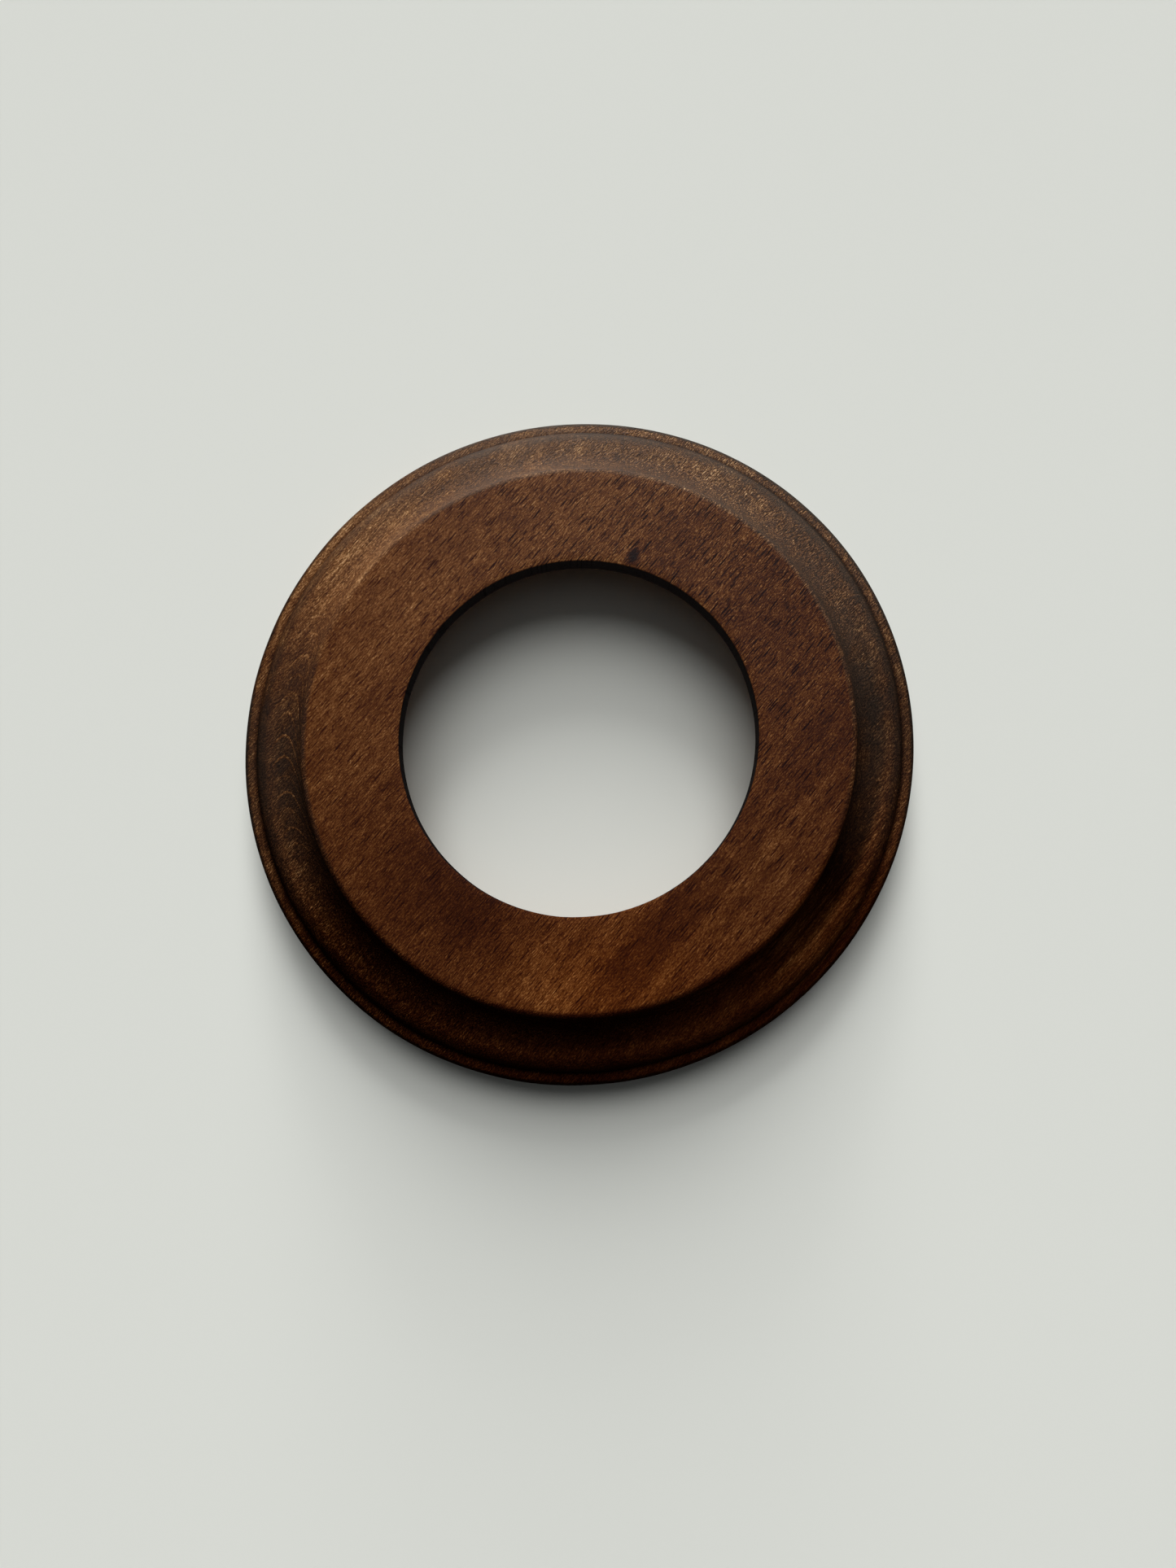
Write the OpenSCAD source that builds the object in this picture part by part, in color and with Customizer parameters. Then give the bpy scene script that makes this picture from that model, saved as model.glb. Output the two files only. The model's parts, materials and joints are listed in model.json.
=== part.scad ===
// Moulded wooden ring: one turned piece of stained beech.
// A flat face surrounds a round opening, the outer edge is moulded, and the back is hollowed.
// The ring lies on its back at z = 0, centred on the Z axis, with its face up.

/* [Ring] */
// Outside diameter
outer_d = 120; // [110:1:160]
// Diameter of the opening in the face
opening_d = 61.8; // [40:0.2:66]
// Thickness of the wood around the opening
lip_t = 5; // [3:0.5:8]

/* [Moulded edge] */
// Rounding where the flat face turns down into the mouldings
face_round = 0.8; // [0.4:0.1:1.5]
// Radius of the hollow moulding below the face
cove_r = 5.4; // [4:0.1:7]
// Width of the flat land between the hollow moulding and the rounded one
land_w = 1.4; // [0.6:0.1:3]
// Radius of the rounded moulding below the land
ovolo_r = 3; // [2:0.2:5]
// Width of the flat step between the rounded moulding and the outer edge
step_w = 2.3; // [1.6:0.1:4]
// Height of the outer edge, from the back to the flat step
rim_h = 8.8; // [6:0.1:12]
// Rounding of the outer edge at the flat step
rim_round = 0.8; // [0.4:0.1:1.4]
// Rounding of the outer edge at the back
back_round = 0.5; // [0.2:0.1:1]

/* [Hollow back] */
// Width of the ledge that the hollow leaves behind the opening
ledge_w = 8; // [3:0.5:10]

/* [Finish] */
// Walnut stain over beech
stain = "#4c2e1a"; // ["#4c2e1a", "#6b4526", "#2f1c11"]

/* [Hidden] */
// Facets to a full circle
$fn = 180;
// How far a cut runs past the wood into the air
spare = 1;

outer_r = outer_d / 2;
opening_r = opening_d / 2;
recess_r = opening_r + ledge_w;

// Inner corner of the flat step, the outer and inner edge of the land, and the edge of the face
step_r = outer_r - step_w;
land_r = step_r - ovolo_r;
cove_end_r = land_r - land_w;
face_r = cove_end_r - cove_r;

// Height of the land, of the top of the hollow moulding and of the face
land_z = rim_h + ovolo_r;
cove_z = land_z + cove_r;
thickness = cove_z + face_round;
recess_depth = thickness - lip_t;

// A rectangle from one corner to the opposite one
module block(low, high) {
    translate(low) square(high - low);
}

// The corner outside a rounding of radius r, to the right of and above the rounding's centre
module corner_waste(r) {
    difference() {
        square(r + spare);
        circle(r);
    }
}

// The rounded moulding, as much of a round bead as lies above the back
module ovolo() {
    intersection() {
        translate([land_r, rim_h]) circle(ovolo_r);
        block([opening_r, 0], [outer_r, thickness]);
    }
}

// Half of the ring's section, with the ring's axis at x = 0
module section() {
    difference() {
        union() {
            block([opening_r, 0], [outer_r, rim_h]);
            block([opening_r, 0], [land_r, land_z]);
            block([opening_r, 0], [cove_end_r, cove_z]);
            block([opening_r, 0], [face_r, thickness]);
            ovolo();
        }
        translate([cove_end_r, cove_z]) circle(cove_r);
        translate([face_r - face_round, cove_z]) corner_waste(face_round);
        translate([outer_r - rim_round, rim_h - rim_round]) corner_waste(rim_round);
        translate([outer_r - back_round, back_round]) mirror([0, 1]) corner_waste(back_round);
        block([0, 0], [recess_r, recess_depth]);
    }
}

// The ring, turned from one board
module moulded_ring() {
    color(stain) rotate_extrude() section();
}

moulded_ring();
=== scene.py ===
import json
from math import radians

import bpy
import numpy as np
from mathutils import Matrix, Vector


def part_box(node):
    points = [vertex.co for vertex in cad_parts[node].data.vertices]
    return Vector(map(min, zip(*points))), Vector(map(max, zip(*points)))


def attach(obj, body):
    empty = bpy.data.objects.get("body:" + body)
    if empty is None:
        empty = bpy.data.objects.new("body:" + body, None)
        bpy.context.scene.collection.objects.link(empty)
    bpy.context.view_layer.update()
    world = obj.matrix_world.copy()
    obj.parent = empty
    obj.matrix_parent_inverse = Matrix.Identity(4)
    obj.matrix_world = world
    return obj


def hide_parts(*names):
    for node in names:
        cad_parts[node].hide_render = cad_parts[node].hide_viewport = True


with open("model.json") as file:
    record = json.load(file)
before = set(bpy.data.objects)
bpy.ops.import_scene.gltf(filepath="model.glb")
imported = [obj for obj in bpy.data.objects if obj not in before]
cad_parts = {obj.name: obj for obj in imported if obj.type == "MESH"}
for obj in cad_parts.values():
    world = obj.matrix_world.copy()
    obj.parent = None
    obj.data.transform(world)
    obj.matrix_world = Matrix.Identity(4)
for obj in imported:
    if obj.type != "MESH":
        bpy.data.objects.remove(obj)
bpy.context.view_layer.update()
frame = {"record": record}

# The viewer holds the camera about 200 mm above the ring, a little to its near side, and looks down.
# Its place and tilt are those at which the ring's round edges fall as they do in the photograph.
scene = bpy.context.scene
scene.view_settings.view_transform = "Standard"
camera = bpy.data.objects.new("camera", bpy.data.cameras.new("camera"))
camera.location = (0.00240, -0.03123, 0.21764)
camera.rotation_euler = (radians(6.54), radians(0.23), 0)
camera.data.lens = 27.05
camera.data.sensor_width = 36
camera.data.clip_start = 0.005
scene.collection.objects.link(camera)
scene.camera = camera

# The ring lies on a plain pale tabletop. A tall and broad window beyond it gives nearly all the light,
# and the rest of the room is dim.
table_reach = 6.0
table_top = np.array([(-1, -1, 0), (1, -1, 0), (1, 1, 0), (-1, 1, 0)]) * table_reach
table_mesh = bpy.data.meshes.new("table")
table_mesh.from_pydata(table_top.tolist(), [], [(0, 1, 2, 3)])
table = bpy.data.objects.new("table", table_mesh)
scene.collection.objects.link(table)
table_paint = bpy.data.materials.new("table_paint")
table_paint.use_nodes = True
paint = table_paint.node_tree.nodes["Principled BSDF"]
paint.inputs["Base Color"].default_value = (0.66, 0.68, 0.65, 1)
paint.inputs["Specular IOR Level"].default_value = 0
table_mesh.materials.append(table_paint)

# Parts of the window: height above the table, side, breadth in the sky, all in degrees, and strength.
daylight = (1.0, 0.99, 0.97)
window_parts = {
    "window_foot": (10, 92, 14, 1.4),
    "window_low": (26, 92, 26, 2.8),
    "window_high": (54, 92, 45, 1.85),
    "window_top": (76, 92, 60, 0.2),
}
for name, (height, side, breadth, strength) in window_parts.items():
    lamp = bpy.data.objects.new(name, bpy.data.lights.new(name, "SUN"))
    lamp.rotation_euler = (radians(90 - height), 0, radians(side + 90))
    lamp.data.angle = radians(breadth)
    lamp.data.energy = strength
    lamp.data.color = daylight
    scene.collection.objects.link(lamp)


class Finish:
    """One output of a shader node. Sums written on it with Python's operators add their Math nodes."""

    def __init__(self, tree, socket=None):
        self.tree = tree
        self.socket = socket

    def node(self, kind, settings, inputs, output=0):
        """Adds a node of a kind, with its settings set first and then its sockets, and gives one output."""
        made = self.tree.nodes.new("ShaderNode" + kind)
        stops = settings.pop("stops", ())
        for name, value in settings.items():
            setattr(made, name, value)
        for index, (position, colour) in enumerate(stops):
            elements = made.color_ramp.elements
            stop = elements[index] if index < 2 else elements.new(position)
            stop.position = position
            stop.color = (*colour, 1)
        for name, value in inputs.items():
            if isinstance(value, Finish):
                self.tree.links.new(value.socket, made.inputs[name])
            else:
                made.inputs[name].default_value = value
        return Finish(self.tree, made.outputs[output]) if made.outputs else None

    def other(self, output):
        """Another output of the same node."""
        return Finish(self.tree, self.socket.node.outputs[output])

    def sum(self, operation, left, right):
        """One operation of a Math node on two values, each an output or a plain number."""
        return self.node("Math", {"operation": operation}, {0: left, 1: right})

    def __add__(self, other):
        return self.sum("ADD", self, other)

    def __radd__(self, other):
        return self.sum("ADD", other, self)

    def __sub__(self, other):
        return self.sum("SUBTRACT", self, other)

    def __rsub__(self, other):
        return self.sum("SUBTRACT", other, self)

    def __mul__(self, other):
        return self.sum("MULTIPLY", self, other)

    def __rmul__(self, other):
        return self.sum("MULTIPLY", other, self)

    def __truediv__(self, other):
        return self.sum("DIVIDE", self, other)

    def __pow__(self, other):
        return self.sum("POWER", self, other)


# The room lights the ring only a little. Where it is seen or mirrored, it is a plain wall that is as
# pale as the tabletop.
room = bpy.data.worlds.new("room")
room.use_nodes = True
room.node_tree.nodes.clear()
air = Finish(room.node_tree)
seen = air.node("LightPath", {}, {}, "Is Camera Ray")
seen = seen + seen.other("Is Glossy Ray") + seen.other("Is Transmission Ray")
dim_room = air.node("Background", {}, {"Color": (0.93, 0.97, 1.0, 1), "Strength": 0.02})
pale_wall = air.node("Background", {}, {"Color": (0.67, 0.70, 0.66, 1), "Strength": 1})
walls = air.node("MixShader", {}, {0: seen, 1: dim_room, 2: pale_wall})
air.node("OutputWorld", {"is_active_output": True}, {"Surface": walls})
scene.world = room

# The ring is one piece of flat-sawn beech, turned on a lathe: a flat face, then a cove, a quarter round
# and a flat step down to the rim, and a wide hollow cut into the back. It is stained a walnut brown
# and thinly sealed. The board has shrunk across its grain, so the turned circles are slightly oval.
mm = 0.001
# Sizes are in mm, with the outside, the thickness and both bores taken from the frame.
ring_low, ring_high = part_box("moulded_ring")
mounts = {mount["name"]: mount["dims"] for mount in frame["record"]["mounts"] if mount["kind"] == "bore"}
outer_r = (ring_high.x - ring_low.x) / 2 / mm
thickness = (ring_high.z - ring_low.z) / mm
opening_r = mounts["face_opening"]["r_mm"]
recess_r = mounts["back_hollow"]["r_mm"]
recess_depth = mounts["back_hollow"]["length_mm"]
face_round = 0.8
cove_r = 5.4
land_w = 1.4
ovolo_r = 3.0
step_w = 2.3
rim_round = 0.8
back_round = 0.5
arris = 0.15
mouth_round = 0.3
step_r = outer_r - step_w
land_r = step_r - ovolo_r
cove_end_r = land_r - land_w
face_r = cove_end_r - cove_r
cove_z = thickness - face_round
rim_h = cove_z - cove_r - ovolo_r
# The grain runs at this angle from the X axis, in degrees.
grain_turn = 50


def arc(r, z, radius, start, stop, count):
    """Points of (r, z) on a circle round a centre, evenly spaced from one angle in degrees to another."""
    turn = np.radians(np.linspace(start, stop, count))
    return np.stack([r + radius * np.cos(turn), z + radius * np.sin(turn)], axis=1)


def straight(start, stop, count):
    """Points evenly spaced between two ends, which belong to the arcs on either side and are left out."""
    return np.linspace(start, stop, count + 2)[1:-1]


# The section runs from the opening's edge out over the face, down the moulding, in under the back,
# up the wall of the hollow, in under its ledge and up the opening's wall to where it began.
section = np.concatenate([
    arc(opening_r + arris, thickness - arris, arris, 180, 90, 4),
    straight((opening_r + arris, thickness), (face_r - face_round, thickness), 9),
    arc(face_r - face_round, cove_z, face_round, 90, 0, 5),
    arc(cove_end_r, cove_z, cove_r, 180, 270, 13)[1:],
    arc(land_r, rim_h, ovolo_r, 90, 0, 9),
    straight((step_r, rim_h), (outer_r - rim_round, rim_h), 1),
    arc(outer_r - rim_round, rim_h - rim_round, rim_round, 90, 0, 5),
    arc(outer_r - back_round, back_round, back_round, 0, -90, 4),
    straight((outer_r - back_round, 0), (recess_r + mouth_round, 0), 2),
    arc(recess_r + mouth_round, mouth_round, mouth_round, -90, -180, 4),
    straight((recess_r, mouth_round), (recess_r, recess_depth), 1),
    [(recess_r, recess_depth)],
    arc(opening_r + arris, recess_depth + arris, arris, 270, 180, 4),
    straight((opening_r, recess_depth + arris), (opening_r, thickness - arris), 3),
])
around = 1440
turn = np.arange(around) / around * 2 * np.pi
chance = np.random.default_rng(11)


def bumps(turn, count, width, height):
    """The greatest of many bell-shaped bumps at chance places round the ring, each with its own size."""
    centre = chance.uniform(0, 2 * np.pi, (count, 1))
    wide = chance.uniform(*width, (count, 1))
    high = chance.uniform(*height, (count, 1))
    away = (turn - centre + np.pi) % (2 * np.pi) - np.pi
    return (high * np.exp(-(away / wide) ** 2)).max(axis=0)


def waves(turn, count, height):
    """A sum of sine waves with chance phases, from 3 to count + 2 rounds each, lower as they get finer."""
    rounds = np.arange(3, count + 3)[:, None]
    phase = chance.uniform(0, 2 * np.pi, (count, 1))
    return (height / rounds ** 0.5 * np.sin(rounds * turn + phase)).sum(axis=0)


# Fibres tore out of the opening's edge as the cutter left it, mostly where it met the grain at a slant.
slant = np.sin(2 * (turn - radians(grain_turn))) ** 2
torn = bumps(turn, count=220, width=(0.002, 0.006), height=(0.0, 0.10)) * (0.3 + 0.7 * slant)
tear_reach = 0.3
near_edge = np.exp(-np.hypot(section[:, 0] - opening_r, section[:, 1] - thickness) / tear_reach)
uneven = waves(turn, count=24, height=0.012)
r = section[:, :1] + uneven + torn * near_edge[:, None]
z = section[:, 1:] - 0.5 * torn * near_edge[:, None]
# The oval is longer along one axis and shorter across it by the same share.
long_axis = radians(45)
shrink = 0.0094
along = r * np.cos(turn - long_axis) * (1 + shrink)
across = r * np.sin(turn - long_axis) * (1 - shrink)
points = np.stack([
    along * np.cos(long_axis) - across * np.sin(long_axis),
    along * np.sin(long_axis) + across * np.cos(long_axis),
    z,
], axis=2) * mm

rows = len(section)
row = np.arange(rows)[:, None] * around
next_row = np.roll(row, -1, axis=0)
column = np.arange(around)[None, :]
next_column = np.roll(column, -1, axis=1)
quads = np.stack([row + column, next_row + column, next_row + next_column, row + next_column], axis=2)
ring_mesh = bpy.data.meshes.new("moulded_ring_turned")
ring_mesh.from_pydata(points.reshape(-1, 3).tolist(), [], quads.reshape(-1, 4).tolist())
ring_mesh.shade_smooth()
ring_mesh.set_sharp_from_angle(angle=radians(50))

# Each point keeps where it lies on the section and how squarely the surface there cuts the fibres.
run = np.roll(section, -1, axis=0) - np.roll(section, 1, axis=0)
outward = -run[:, 1] / np.hypot(run[:, 0], run[:, 1])
end_grain = (0.3 + 0.7 * np.abs(outward[:, None])) * np.abs(np.cos(turn - radians(grain_turn)))
place = np.stack(np.broadcast_arrays(section[:, :1], end_grain, section[:, 1:]), axis=2)
ring_mesh.attributes.new("section", "FLOAT_VECTOR", "POINT").data.foreach_set("vector", place.ravel())
ring = bpy.data.objects.new("moulded_ring_turned", ring_mesh)
scene.collection.objects.link(ring)
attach(ring, "root")
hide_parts("moulded_ring")

# Stained beech: fine straight fibres, dark spindles where the rays come to the face, thin growth layers
# that cross the moulding as crescents, and a stain that soaks deepest into the cut ends of the fibres.
stained_beech = bpy.data.materials.new("stained_beech")
stained_beech.use_nodes = True
stained_beech.node_tree.nodes.clear()
wood = Finish(stained_beech.node_tree)
object_place = wood.node("TexCoord", {}, {}, "Object")
board = wood.node("Mapping", {}, {
    "Vector": object_place,
    "Rotation": (0, 0, -radians(grain_turn)),
    "Scale": (1 / mm, 1 / mm, 1 / mm),
})
board_g = wood.node("SeparateXYZ", {}, {0: board}, "X")
board_t = board_g.other("Y")
board_z = board_g.other("Z")
section_r = wood.node("SeparateXYZ", {}, {
    0: wood.node("Attribute", {"attribute_name": "section"}, {}, "Vector"),
}, "X")
cut_ends = section_r.other("Y")
section_z = section_r.other("Z")


def rise(value, low, high):
    """0 where the value is at low or short of it, 1 at high and past it, with a smooth step between."""
    return wood.node("MapRange", {"interpolation_type": "SMOOTHSTEP"}, {
        "Value": value, "From Min": low, "From Max": high,
    })


def stretched(size):
    """The board's own coordinates in cells of a size in mm: along the grain, across it and up."""
    return wood.node("VectorMath", {"operation": "DIVIDE"}, {0: board, 1: size})


def cloud(size, detail, roughness):
    """Noise from about -1 to 1 whose blotches have a size in mm: along the grain, across it and up."""
    noise = wood.node("TexNoise", {}, {
        "Vector": stretched(size), "Scale": 1, "Detail": detail, "Roughness": roughness,
    })
    return noise * 4 - 2


def spindles(length, width, count):
    """Slim dashes along the grain, so many to a square cm, each of its own size and strength, 0 to 1."""
    slim = (length / width) ** 0.5
    spacing = (100 / count) ** 0.5
    cell = (spacing * slim, spacing / slim, 1)
    away = wood.node("TexVoronoi", {"voronoi_dimensions": "2D"}, {
        "Vector": stretched(cell), "Scale": 1,
    }, "Distance")
    pick = wood.node("SeparateColor", {}, {0: away.other("Color")}, "Red")
    reach = length / 2 / cell[0]
    return rise(away / (reach * (0.5 + pick)), 1.05, 0.7) * (0.35 + 0.65 * pick.other("Green"))


def patches(places):
    """The sum of soft round patches, each with a place on the ring in mm, a reach in mm and a strength."""
    total = 0
    for x, y, reach, strength in places:
        away = wood.node("VectorMath", {"operation": "DISTANCE"}, {
            0: object_place, 1: (x * mm, y * mm, thickness * mm),
        }, "Value")
        total = total + strength * rise(away, reach * mm, 0)
    return total


# How squarely the ring's upright sides cut the fibres: 1 in the direction of the grain, 0 across it.
ends = board_g ** 2 / (board_g ** 2 + board_t ** 2)

# Places on the section, each a mask from 0 to 1 that fades over a few tenths of a mm: the hollow with the
# back, the moulding with its cove, land, flank, corner, step, rim and side, the face and the opening's wall.
below_ledge = rise(section_z, recess_depth + 0.3, recess_depth + 0.1)
in_hollow = below_ledge * rise(section_r, recess_r + 0.7, recess_r + 0.2)
on_back = 1 - (1 - in_hollow) * (1 - rise(section_z, 0.45, 0.1))
edge_r = face_r - face_round
on_moulding = rise(section_r, edge_r - 0.5, edge_r + 0.2) * (1 - on_back)
on_face = rise(section_z, thickness - 0.4, thickness - 0.1) * (1 - on_moulding)
on_cove = rise(section_r, face_r - 0.2, face_r + 0.6) * rise(section_r, land_r, cove_end_r - 0.4)
on_cove = on_cove * on_moulding
on_rim = rise(section_r, outer_r - 0.9, outer_r - 0.45)
on_side = rise(section_r, outer_r - 0.15, outer_r - 0.02) * rise(section_z, rim_h - 0.9, rim_h - 2.4)
on_rim = on_rim * (1 - 0.7 * on_side)
on_face_edge = rise(section_r, edge_r - 0.3, edge_r + 0.1) * rise(section_r, edge_r + 0.6, edge_r + 0.2)
on_face_edge = on_face_edge * patches([(38, 30, 50, 1)])
in_corner = rise(section_r, step_r - 1.3, step_r - 0.4) * rise(section_r, step_r + 0.8, step_r + 0.1)
in_corner = in_corner * (0.6 + 0.4 * ends) * (1 - on_back)
on_land = rise(section_r, cove_end_r - 0.8, cove_end_r + 0.2) * rise(section_r, land_r + 0.8, land_r - 0.1)
on_flank = rise(section_r, land_r + 0.2, land_r + 1.3) * rise(section_r, step_r + 0.3, step_r - 0.1)
on_step = rise(section_r, step_r + 0.3, step_r + 0.8) * (1 - on_rim) * on_moulding
on_wall = rise(section_z, thickness - 0.05, thickness - 0.3) * rise(section_r, recess_r + 0.5, recess_r)
on_wall = on_wall * (1 - on_back)

# Growth layers lie round a pith far below the ring. Each ends in a thin pale line, and some are stronger.
pith_t = -9.5
pith_z = -140
layer_step = 0.62
wander = cloud((60, 14, 14), 2, 0.5) * 0.3
from_pith = ((board_t - pith_t) ** 2 + (board_z - pith_z) ** 2) ** 0.5 + wander
layer = from_pith / layer_step
layer_number = wood.node("Math", {"operation": "FLOOR"}, {0: layer})
layer_share = layer - layer_number
layer_strength = wood.node("TexWhiteNoise", {"noise_dimensions": "1D"}, {"W": layer_number}, "Value")
layer_line = rise(layer_share, 0.76, 0.92) * rise(layer_share, 1.0, 0.94) * (0.3 + 0.7 * layer_strength)
crescents = layer_line * on_cove * patches([(-56, 2, 34, 1.4), (-8, 56, 24, 0.6)])
layer_bands = wood.node("TexNoise", {"noise_dimensions": "1D"}, {
    "W": layer, "Scale": 0.7, "Detail": 2, "Roughness": 0.6,
}) * 4 - 2

# Bold streaks of this board: where each lies across the grain in mm, and how dark it is, 0.5 being none.
streaks = [
    (-47, 0.50), (-44, 0.62), (-41.6, 0.34), (-40, 0.66), (-37, 0.26), (-35, 0.80), (-33, 0.58),
    (-30.2, 0.74), (-28.2, 0.40), (-25, 0.36), (-23.5, 0.58), (-20, 0.40), (-14.6, 0.56), (-7, 0.62),
    (0, 0.50), (7, 0.60), (16.5, 0.36), (19, 0.50), (28, 0.42), (31.5, 0.56), (35, 0.44), (47, 0.48),
]
board_half = 48
bold = wood.node("ValToRGB", {"stops": [
    ((place + board_half) / (2 * board_half), (dark, dark, dark)) for place, dark in streaks
]}, {"Fac": (board_t + 1.5 * wander + board_half) / (2 * board_half)})
bold = wood.node("RGBToBW", {}, {0: bold}) - 0.5

# The wood's own texture, from single fibres to broad drifts, with its rays, raised fibres and golden spots.
fibres = cloud((1.6, 0.20, 0.20), 2, 0.65)
specks = cloud((0.42, 0.17, 0.17), 1, 0.5)
hairs = cloud((8, 0.45, 0.45), 2, 0.6)
mottle = cloud((5.0, 2.0, 2.0), 2, 0.6)
drift = cloud((26, 9, 9), 2, 0.5)
rays = spindles(2.1, 0.18, 26)
fine_rays = spindles(1.2, 0.14, 60)
raised = rise(cloud((0.9, 0.45, 0.45), 2, 0.6), 0.1, 0.8)
golden = rise(cloud((8, 4, 4), 2, 0.5), -0.2, 1.0)

# A small knot beside the opening: an oval along the grain with a ragged edge.
knot_g, knot_t = 30.4, 13.1
knot_half_long, knot_half_wide = 1.9, 1.25
knot_shape = (((board_g - knot_g) / knot_half_long) ** 2 + ((board_t - knot_t) / knot_half_wide) ** 2) ** 0.5
knot = rise(knot_shape + 0.3 * cloud((1.0, 0.6, 1), 2, 0.6), 1.1, 0.2)

# Depth of the stain: 1 is the usual depth on the face, and more is darker. The turned edge drank more
# where its fibres end and less along them, and the hollow and the back had only a thin wash.
crisp = 1.15 + (1 - 0.5 * on_moulding) * patches([(36, 36, 60, 0.6)])
fine_grain = crisp * (0.26 * fibres + (0.25 + 0.05 * on_moulding) * specks)
fine_grain = fine_grain + 0.12 * hairs + 0.12 * mottle + 0.06 * drift
bold_rays = 0.65 + patches([(26, 36, 76, 1.4)])
face_depth = 0.04 + 0.50 * bold + bold_rays * (0.85 * rays + 0.55 * fine_rays - 0.045) + 1.1 * knot
face_depth = face_depth + patches([
    (-30, 28, 30, -0.16), (-26, -24, 20, 0.20), (38, 18, 30, 0.14), (0, -46, 18, -0.12),
    (-46, 2, 22, -0.13), (-3, 44, 24, -0.10), (46, -4, 22, 0.13), (14, 36, 12, 0.14),
    (-17, -29, 12, 0.22), (7, -39, 6, 0.14), (12, -35, 7, 0.16), (17, -30, 7, 0.14), (-6, -41, 9, -0.10),
])
# Painted shade on the near part of the moulding, put in as deeper stain, so it is also redder there; less on
# the upright side.
painted_near_shade = (1 - 0.6 * on_side) * patches([(0, -58, 52, 0.50), (-44, -38, 34, 0.35), (44, -38, 36, 0.62)])
# The moulding is darker at its near left, right and left, less on its upright side.
darker_moulding = (1 - 0.5 * on_side) * patches([(-44, -36, 36, 0.6), (58, 6, 36, 0.93), (-58, -5, 34, 0.80)])
# Painted shade that makes the cove near black on the near side and at the near right.
painted_cove_shade = on_cove * patches([(0, -56, 45, 0.5), (51, -25, 38, 0.88)])
gilt = golden * (1 - 0.6 * ends) * (1 - 0.8 * painted_near_shade)
moulding_depth = 0.25 * cut_ends + 0.75 * painted_near_shade + 0.12 * layer_bands - 0.5 * crescents - 0.25 * gilt
moulding_depth = moulding_depth + hairs * patches([(-40, 40, 40, 0.06), (46, -36, 36, 0.3)])
moulding_depth = moulding_depth + ends ** 3 * (0.2 * specks - 0.18 * raised) - 0.06 * on_land
moulding_depth = moulding_depth + patches([
    (-6, 54, 28, -0.26), (24, 52, 24, -0.28), (-40, 38, 30, -0.26), (-52, 26, 20, -0.08),
    (44, -38, 18, -0.40), (-50, -26, 14, -0.35), (25, -53, 10, -0.25),
])
depth = 1 + fine_grain * (1 - 0.6 * on_moulding * painted_near_shade)
depth = depth + on_face * face_depth + on_moulding * moulding_depth
# The step takes more of the painted near-side shade and is a little lighter elsewhere; fibres on the far
# face edge are worn lighter.
depth = depth + on_step * (0.6 * painted_near_shade - 0.14) - 0.5 * on_face_edge * raised
depth = depth + 1.1 * on_wall - 0.45 * on_back

# Light that passes twice through the stain fades by a power of its depth, so deep stain is also redder.
# The pigment itself scatters a very little light back.
beech = np.array([0.75, 0.52, 0.30])
usual_stain = np.array([0.0816, 0.0350, 0.0125])
pigment = np.array([0.0012, 0.0004, 0.0009])
shallow, deep, steps = 0.1, 2.3, 12
stain = wood.node("ValToRGB", {"stops": [
    (share, tuple(beech * usual_stain ** (shallow + share * (deep - shallow)) + pigment))
    for share in np.linspace(0, 1, steps)
]}, {"Fac": (depth - shallow) / (deep - shallow)})

# Darkening, given as the share of the light left: grime from the turning in the cut ends of the fibres;
# painted shade in the step's corner, on the rounded rim (less on its upright side and at the far left) and,
# with some real stain, on the quarter round's steep flank; a near-black painted shade in the cove on the
# near side and near right; a darker moulding at its near left, right and left; and a near-black opening's
# wall.
grime_and_shade_share = (1 - on_moulding * 0.65 * cut_ends ** 2) * (1 - 0.5 * in_corner)
grime_and_shade_share = grime_and_shade_share * (1 - on_rim * (0.72 - patches([(-34, 48, 34, 0.3)])))
grime_and_shade_share = grime_and_shade_share * (1 - 0.4 * on_flank * on_moulding * (1 - 1.2 * painted_near_shade))
grime_and_shade_share = grime_and_shade_share * (1 - on_moulding * darker_moulding * (0.7 + 0.3 * on_cove)) * (1 - painted_cove_shade)
grime_and_shade_share = grime_and_shade_share + (1 - grime_and_shade_share) * (0.6 * crescents + 0.15 * gilt + 0.22 * raised * darker_moulding * on_moulding)
grime_and_shade_share = grime_and_shade_share * (1 - 0.6 * on_wall)
tone = wood.node("VectorMath", {"operation": "SCALE"}, {0: stain, "Scale": grime_and_shade_share})
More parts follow.
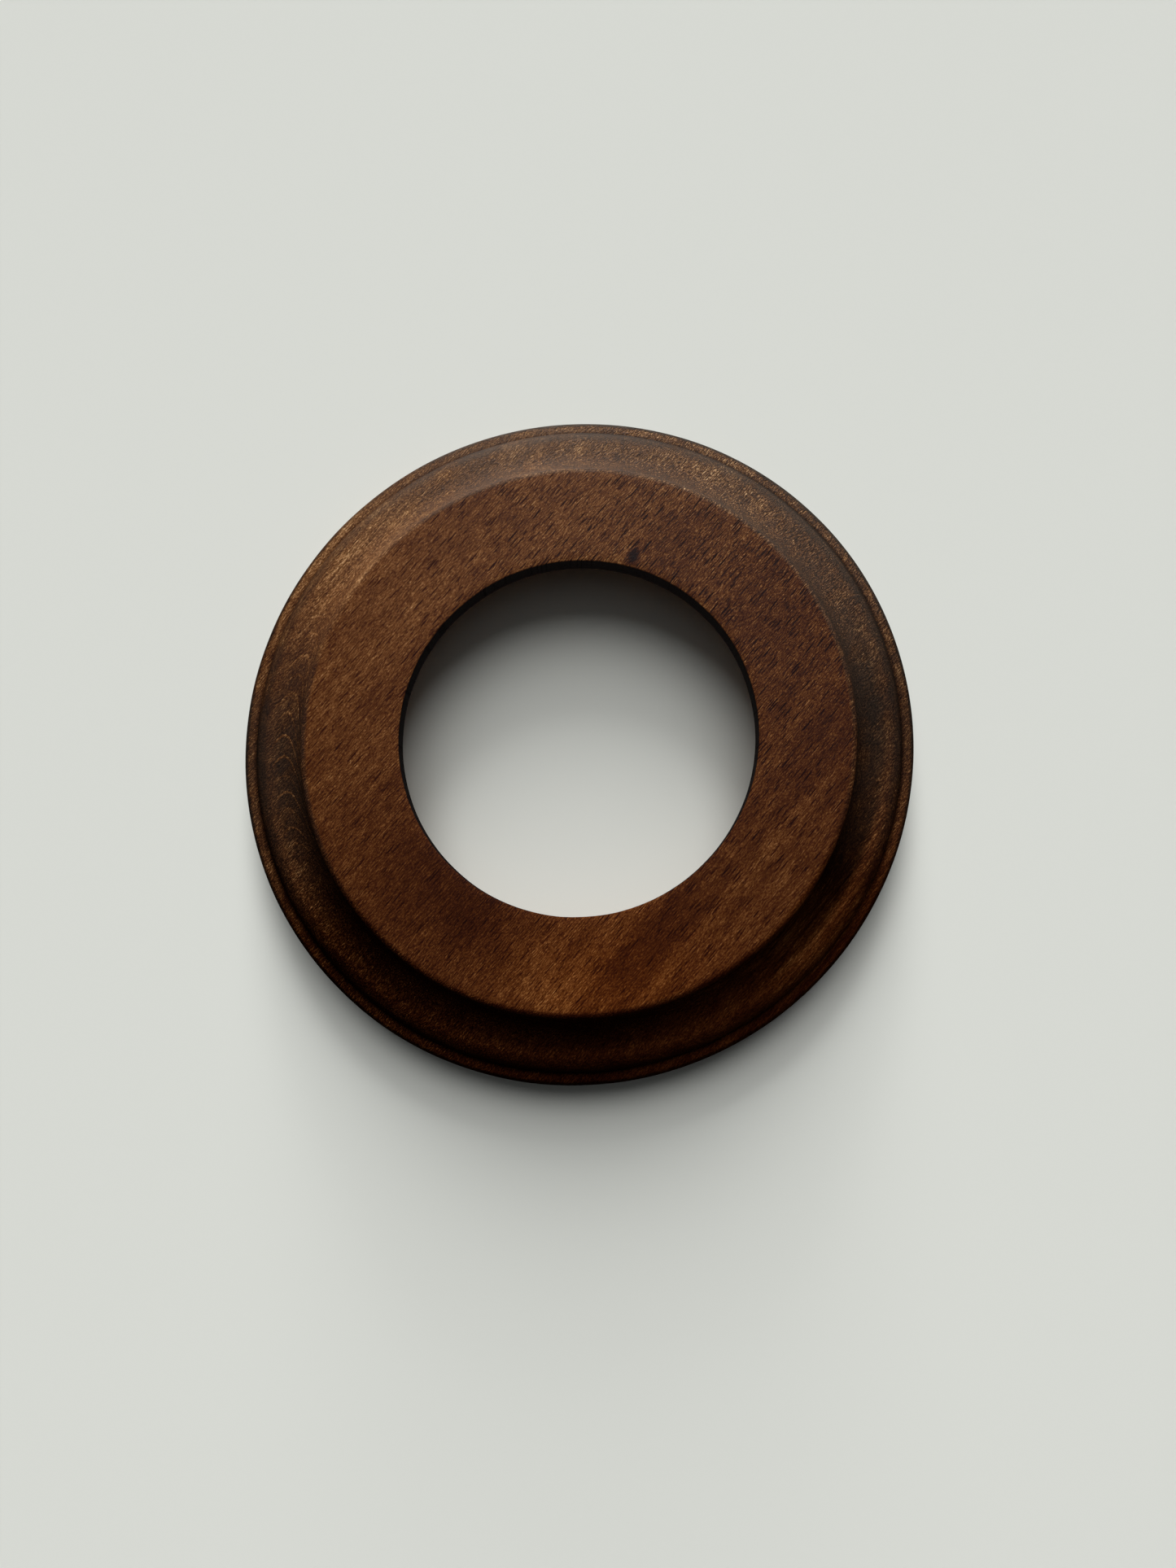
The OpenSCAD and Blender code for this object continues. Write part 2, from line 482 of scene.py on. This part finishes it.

# The far part of the moulding, which faces the window, gets a painted grey sheen; the near part of the face
# gets a painted warm cast that offsets the pale room's reflection there; and the moulding's fibres are
# rough, each a little lighter or darker than the next.
painted_sheen_grey = (0.114, 0.099, 0.080, 1)
painted_warm_cast = (1.0, 0.80, 0.55, 1)
# Painted grey sheen on the far part of the moulding, where it faces the window, less in the corner and on
# crescents.
painted_sheen = on_moulding * patches([
    (-6, 56, 52, 0.38), (42, 40, 44, 0.34), (-40, 40, 40, 0.1), (-58, 0, 40, 0.13), (58, 4, 36, 0.12),
])
painted_sheen = painted_sheen * (1 - 0.3 * ends ** 3 * raised) * (1 - 0.5 * gilt) * (1 - 0.6 * in_corner)
painted_sheen = painted_sheen * (1 - 0.7 * crescents) * (1 - 0.35 * cut_ends)
tone = wood.node("Mix", {"data_type": "RGBA"}, {
    "Factor": painted_sheen, 6: tone, 7: painted_sheen_grey,
}, 2)
# Painted warm cast on the near part of the face, which offsets the pale room's reflection there.
tone = wood.node("Mix", {"data_type": "RGBA", "blend_type": "MULTIPLY"}, {
    "Factor": on_face * patches([(6, -46, 34, 1)]), 6: tone, 7: painted_warm_cast,
}, 2)
rough = on_moulding * (0.08 + 0.24 * ends + patches([(58, 4, 36, 0.2)])) * (specks + 0.7 * fibres)
rough = rough * (1 - patches([(20, 55, 50, 0.5)]))
tone = wood.node("VectorMath", {"operation": "SCALE"}, {0: tone, "Scale": 1 - rough})

# Relief: fibres stand up, most where they are cut across, rays lie low, and the back keeps its tool marks.
relief_height = 0.08 * mm
tool_step = 1.1
relief = (0.5 + on_moulding * (1 + 1.5 * ends)) * (fibres + specks)
relief = relief - 1.4 * rays * on_face - 0.5 * fine_rays
turning = wood.node("Math", {"operation": "SINE"}, {0: (section_r + section_z) * (2 * np.pi / tool_step)})
relief = relief + 1.2 * raised * on_moulding + 0.9 * turning * on_back
bump = wood.node("Bump", {}, {"Height": relief, "Strength": 0.5, "Distance": relief_height})

# The seal left a thin satin film on the sanded face, thickest at the far side, and on the moulding only
# along its far part.
sanded = wood.node("BsdfPrincipled", {}, {
    "Base Color": tone, "Normal": bump, "Specular IOR Level": 0.1,
    "Roughness": 0.42 + 0.25 * rays + 0.04 * fibres + 0.3 * on_wall + 0.1 * on_moulding,
})
turned = wood.node("BsdfPrincipled", {}, {
    "Base Color": tone, "Normal": bump, "Specular IOR Level": 0, "Roughness": 0.7,
})
sealed = (1 - on_moulding) * (0.14 + patches([(0, 60, 120, 0.62), (58, 8, 50, 0.1)]))
sealed = sealed + on_moulding * patches([(2, 58, 54, 1.1), (44, 40, 40, 0.3), (-42, 40, 40, 0.25)])
both = wood.node("MixShader", {}, {0: sealed, 1: turned, 2: sanded})
wood.node("OutputMaterial", {"is_active_output": True}, {"Surface": both})
ring_mesh.materials.append(stained_beech)
